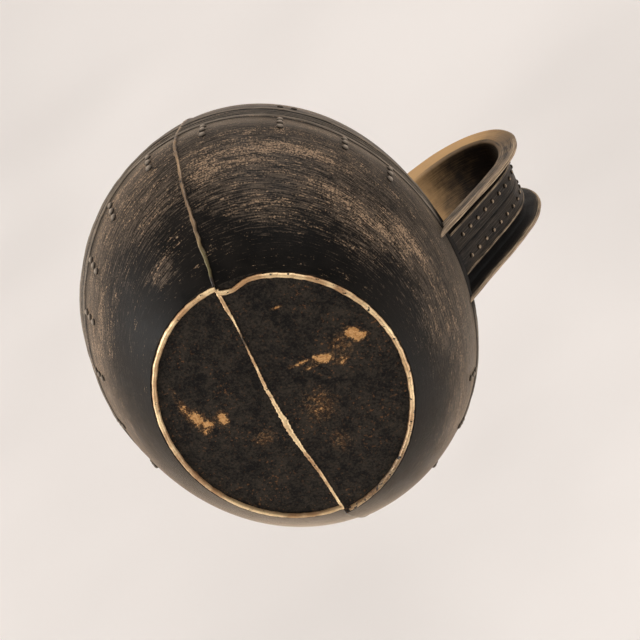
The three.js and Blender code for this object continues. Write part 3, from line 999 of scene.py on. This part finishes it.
def patina_material(name, sheen):
    """Black patina, burnished round the body and worn through by rubbing to tan metal in dashes,
    lighter with painted sheen in places, with crests lighter partly as a painted highlight,
    and dark where painted shade lies in the dirt amount.
    """
    g = Graph(name)
    dirt, rub_and_sheen, crest = g.wear
    mottle = g.noise(g.place, 95, 4, 0.62)
    grain = g.noise(g.place, 1500, 3, 0.65)
    hairs = g.noise(g.scaled(g.flow, 110, 2700), 1, 4, 0.65)
    dashes = g.noise(g.scaled(g.flow, 160, 2300), 1, 3, 0.65)
    bands = g.noise(g.scaled(g.flow, 18, 230), 1, 3, 0.55)
    base = g.mix(g.band(mottle, 0.35, 0.65), colour(7, 6, 5), colour(18, 15, 12))
    strokes = g.plus(g.times(hairs, 0.75), g.times(grain, 0.25))
    # Burnish streaks, stronger where the body carries rubbing and painted sheen.
    polish_and_sheen = g.band(g.plus(strokes, g.times(g.math("MINIMUM", rub_and_sheen, 0.5), 0.3)), 0.575, 0.745)
    base = g.mix(g.times(polish_and_sheen, 0.8), base, colour(98, 84, 71))
    showing = g.plus(g.times(bands, 0.28), g.times(dashes, 0.45))
    showing = g.plus(showing, g.plus(g.times(grain, 0.27), g.times(rub_and_sheen, 0.12)))
    tan = g.mix(g.band(grain, 0.4, 0.62), colour(112, 92, 75), colour(168, 140, 112))
    base = g.mix(g.band(showing, 0.585, 0.67, 0, 0.9), base, tan)
    # Lighter crests on the belt's lines and the bosses: worn patina and partly a painted highlight.
    base = g.mix(g.times(crest, g.band(hairs, 0.3, 0.6, 0.6, 0.95)), base, colour(156, 142, 127))
    # Near black where the dirt amount is high; much of it is painted shade in grooves and round the
    # handle's feet.
    base = g.mix(g.times(dirt, 0.93), base, colour(5, 4, 4))
    height = g.plus(g.times(hairs, 0.6), g.times(grain, 0.4))
    return g.finish(
        Base_Color=base, Roughness=g.band(mottle, 0.3, 0.7, 0.42, 0.56), Specular_IOR_Level=0.08,
        Normal=g.bump(height, 0.4, 0.0003),
        Sheen_Weight=sheen, Sheen_Roughness=0.31, Sheen_Tint=colour(202, 180, 156),
    )


def base_material():
    """Rough mottled patina under the foot, chipped in places down to bare metal."""
    g = Graph("base_patina")
    bare = g.wear[1]
    broad = g.noise(g.place, 55, 4, 0.6)
    mottle = g.noise(g.place, 260, 5, 0.75)
    grain = g.noise(g.place, 1200, 3, 0.7)
    tone = g.plus(g.times(mottle, 0.42), g.plus(g.times(grain, 0.42), g.times(broad, 0.16)))
    base = g.mix(g.band(tone, 0.4, 0.62), colour(9, 7, 6), colour(53, 46, 38))
    specks = g.noise(g.place, 900, 2, 0.5)
    rusty = g.times(g.band(specks, 0.6, 0.68), g.band(broad, 0.45, 0.6, 0.15, 0.8))
    base = g.mix(rusty, base, colour(104, 70, 42))
    patch = g.noise(g.place, 430, 6, 0.75)
    field = g.plus(g.times(bare, 0.95), g.plus(g.times(patch, 1.35), g.times(specks, 0.6)))
    halo = g.times(g.band(field, 1.12, 1.4, 0, 0.65), g.band(bare, 0.05, 0.25))
    base = g.mix(halo, base, colour(84, 58, 36))
    dust = g.times(g.band(bare, 0.08, 0.32), g.band(grain, 0.55, 0.62, 0, 0.75))
    base = g.mix(dust, base, colour(138, 103, 66))
    chip = g.times(g.band(field, 1.42, 1.46), g.band(bare, 0.1, 0.2))
    metal = g.mix(g.band(grain, 0.4, 0.6), colour(172, 122, 72), colour(208, 162, 108))
    base = g.mix(chip, base, metal)
    height = g.plus(g.plus(mottle, g.times(grain, 0.5)), g.times(chip, -0.5))
    return g.finish(
        Base_Color=base, Roughness=g.band(mottle, 0.3, 0.7, 0.45, 0.65), Specular_IOR_Level=0.12,
        Normal=g.bump(height, 0.65, 0.0007), Metallic=g.times(chip, 0.3),
    )


def strap_material():
    """Worn patina along the strap: black dirt and painted shade in its channels, tan edges,
    bare inside the loop, with painted shade on the bare metal of the loop's web.
    """
    g = Graph("strap_patina")
    dirt, bare, crest = g.wear
    mottle = g.noise(g.place, 150, 4, 0.6)
    grain = g.noise(g.place, 1300, 3, 0.6)
    hairs = g.noise(g.scaled(g.flow, 70, 2200), 1, 3, 0.65)
    base = g.mix(g.band(mottle, 0.35, 0.65), colour(18, 15, 12), colour(38, 32, 26))
    base = g.mix(g.band(hairs, 0.48, 0.66, 0, 0.5), base, colour(92, 79, 67))
    edge = g.plus(crest, g.plus(g.times(hairs, 0.8), g.times(mottle, 0.6)))
    worn = g.mix(g.band(hairs, 0.4, 0.62), colour(104, 88, 72), colour(182, 158, 130))
    base = g.mix(g.band(edge, 1.1, 1.65), base, worn)
    golden = g.plus(bare, g.plus(g.times(mottle, 0.35), g.times(hairs, 0.3)))
    # Painted shade on the bare metal in the loop's web; its worn edges stay lighter.
    shade = g.mix(g.band(crest, 0.2, 0.6), colour(26, 18, 11), colour(112, 92, 70))
    gold = g.mix(g.band(golden, 0.55, 1.2), shade, colour(196, 156, 108))
    base = g.mix(g.band(golden, 0.42, 0.6), base, gold)
    # Near black in the channels and at the strap's ends: dark patina with painted shade.
    dirty = g.band(g.plus(dirt, g.times(grain, 0.3)), 0.45, 1.0, 0, 0.95)
    base = g.mix(dirty, base, colour(6, 5, 5))
    height = g.plus(g.times(hairs, 0.6), g.times(grain, 0.4))
    return g.finish(
        Base_Color=base, Roughness=g.band(mottle, 0.3, 0.7, 0.45, 0.6), Specular_IOR_Level=0.09,
        Normal=g.bump(height, 0.45, 0.0004),
        Sheen_Weight=0.2, Sheen_Roughness=0.35, Sheen_Tint=colour(196, 178, 160),
    )


def bare_material(name, dark, low, high, metallic, stain=None):
    """Bare joint metal: uneven and pitted, brighter along its crest and dark in its dirt.
    On the foot ring the crest sits on the bead's outer flank, so there the brighter crest is a
    painted highlight and the darker inner flank painted shade.
    Its colour lies between low and high, and a stain covers its lowest stretch."""
    g = Graph(name)
    dirt, pitted, crest = g.wear
    tone = g.noise(g.place, 150, 4, 0.6)
    grain = g.noise(g.place, 1500, 3, 0.6)
    broad = g.noise(g.place, 45, 3, 0.6)
    base = g.mix(g.band(g.plus(g.times(tone, 0.5), g.times(broad, 0.5)), 0.4, 0.6), low, high)
    if stain:
        height = g.add("ShaderNodeSeparateXYZ", {0: g.place}).outputs[2]
        base = g.mix(g.band(height, *STAIN_HEIGHTS, 0.85, 0), base, stain)
    # Darker away from the crest; on the ring this is painted shade on the bead's inner flank.
    base = g.mix(g.band(crest, 0.2, 0.75, 0.6, 0), base, dark)
    base = g.mix(g.band(grain, 0.5, 0.72, 0, 0.35), base, dark)
    holes = g.noise(g.place, 560, 2, 0.5)
    pits = g.band(g.plus(holes, g.times(pitted, 0.105)), 0.7, 0.74)
    base = g.mix(pits, base, colour(20, 16, 13))
    dirty = g.band(g.plus(dirt, g.times(grain, 0.6)), 0.75, 1.15)
    base = g.mix(dirty, base, colour(44, 34, 26))
    relief = g.plus(g.times(tone, 0.7), g.times(pits, -1.0))
    return g.finish(
        Base_Color=base, Roughness=g.band(grain, 0.3, 0.7, 0.27, 0.48), Metallic=metallic,
        Normal=g.bump(relief, 0.5, 0.0005),
    )


def make_camera():
    data = bpy.data.cameras.new("camera")
    data.lens = FOCAL_LENGTH_MM
    data.sensor_width = 36
    data.clip_start = 0.01
    data.clip_end = 20
    camera = add_object("camera", data)
    turn = Matrix((CAMERA_RIGHT, CAMERA_UP, CAMERA_BACK)).transposed()
    place = Vector(CAMERA_PLACE) * MM + Vector((AXIS_X, 0, 0))
    camera.matrix_world = Matrix.Translation(place) @ turn.to_4x4()
    bpy.context.scene.camera = camera


def make_light(name, direction, strength, spread, tint):
    """A lamp far away in a direction, as soft as its spread in degrees."""
    data = bpy.data.lights.new(name, "SUN")
    data.energy = strength
    data.color = tint
    data.angle = math.radians(spread)
    light = add_object(name, data)
    light.rotation_mode = "QUATERNION"
    light.rotation_quaternion = (-direction).to_track_quat("-Z", "Y")


def make_lights():
    above = CAMERA_UP * 0.8 + CAMERA_BACK * 0.22
    left = CAMERA_BACK * 0.04 - CAMERA_RIGHT * 0.8 - CAMERA_UP * 0.28
    right = CAMERA_RIGHT * 0.8 - CAMERA_UP * 0.3 + CAMERA_BACK * 0.1
    make_light("key", above, strength=1.8, spread=45, tint=(1.0, 0.985, 0.97))
    make_light("fill", left, strength=5.6, spread=52, tint=(1.0, 0.985, 0.965))
    make_light("rim", right, strength=2.3, spread=52, tint=(1.0, 0.985, 0.965))


def one_sided(g, shader):
    """The shader from the front, nothing at all from behind."""
    clear = g.add("ShaderNodeBsdfTransparent").outputs[0]
    behind = g.add("ShaderNodeNewGeometry").outputs["Backfacing"]
    mixed = g.add("ShaderNodeMixShader", {0: behind, 1: shader, 2: clear}).outputs[0]
    g.add("ShaderNodeOutputMaterial", {0: mixed})
    return g.material


def cloth_material(name, fold_strength):
    """Pale cloth with soft folds, a little brighter where it is seen than what it gives off."""
    g = Graph(name)
    tone = g.noise(g.place, 3, 3, 0.5)
    base = g.mix(tone, colour(222, 215, 211), colour(234, 228, 224))
    folds = g.noise(g.scaled(g.place, 4, 9, 4), 1, 2, 0.4)
    bump = g.bump(folds, fold_strength, 0.04)
    plain = g.add("ShaderNodeBsdfDiffuse", {"Color": base, "Normal": bump}).outputs[0]
    light_path = g.add("ShaderNodeLightPath").outputs
    seen = g.math("MAXIMUM", light_path["Is Camera Ray"], light_path["Is Glossy Ray"])
    light = {"Color": colour(238, 230, 223), "Strength": g.times(seen, 0.22)}
    glow = g.add("ShaderNodeEmission", light).outputs[0]
    return one_sided(g, g.add("ShaderNodeAddShader", {0: plain, 1: glow}).outputs[0])


def make_sheet(name, middle, right, up, material):
    half = SHEET_HALF_SIZE
    signs = ((-1, -1), (1, -1), (1, 1), (-1, 1))
    corners = [middle + right * x * half + up * y * half for x, y in signs]
    mesh = bpy.data.meshes.new(name)
    mesh.from_pydata([tuple(corner) for corner in corners], [], [(0, 1, 2, 3)])
    mesh.materials.append(material)
    sheet = add_object(name, mesh)
    return sheet


def make_stage():
    """Pale cloth behind the jug, square to the camera's view, and a floor seen from above."""
    cloth = cloth_material("cloth", 0.5)
    plain = cloth_material("floor", 0.05)
    behind = Vector((AXIS_X, 0, LOOK_HEIGHT)) - CAMERA_BACK * CLOTH_DISTANCE
    make_sheet("cloth", behind, CAMERA_RIGHT, CAMERA_UP, cloth)
    under = Vector((0, 0, FLOOR_HEIGHT))
    floor = make_sheet("floor", under, Vector((1, 0, 0)), Vector((0, 1, 0)), plain)
    for rays in ("diffuse", "glossy", "transmission", "shadow"):
        setattr(floor, "visible_" + rays, False)


def make_world():
    """Soft light all round, weaker from the side that the camera stands on."""
    world = bpy.data.worlds.new("world")
    bpy.context.scene.world = world
    world.use_nodes = True
    tree = world.node_tree
    background = tree.nodes["Background"]
    background.inputs["Color"].default_value = colour(238, 234, 230)
    direction = tree.nodes.new("ShaderNodeTexCoord").outputs["Generated"]
    facing = tree.nodes.new("ShaderNodeVectorMath")
    facing.operation = "DOT_PRODUCT"
    facing.inputs[1].default_value = CAMERA_BACK
    tree.links.new(direction, facing.inputs[0])
    strength = tree.nodes.new("ShaderNodeMapRange")
    for name, value in (("From Min", 0.1), ("From Max", 0.95), ("To Min", 0.8), ("To Max", 0.25)):
        strength.inputs[name].default_value = value
    tree.links.new(facing.outputs["Value"], strength.inputs["Value"])
    tree.links.new(strength.outputs["Result"], background.inputs["Strength"])


def main():
    bpy.context.scene.view_settings.view_transform = "Standard"
    patina = patina_material("patina", 1.0)
    upper_patina = patina_material("upper_patina", 0.25)
    base = base_material()
    gold = bare_material(
        "bare_brass", colour(112, 78, 48), colour(184, 142, 100), colour(252, 220, 170), 0.35,
    )
    dull = bare_material(
        "dull_brass", colour(46, 34, 22), colour(108, 84, 58), colour(154, 124, 88), 0.2,
        stain=colour(98, 92, 52),
    )
    make_body_half(-1, LEFT_FOOT, "body_half_left_skin", [patina, base, upper_patina])
    make_body_half(1, RIGHT_FOOT, "body_half_right_skin", [patina, base, upper_patina])
    make_ring_half(-1, LEFT_FOOT, "foot_ring_left_bead", gold)
    make_ring_half(1, RIGHT_FOOT, "foot_ring_right_bead", gold)
    make_base_seam(gold)
    make_side_seam(-1, "front_seam_metal", dull)
    make_side_seam(1, "back_seam_metal", dull)
    make_neck(upper_patina)
    make_handle(strap_material())
    make_camera()
    make_lights()
    make_stage()
    make_world()


main()
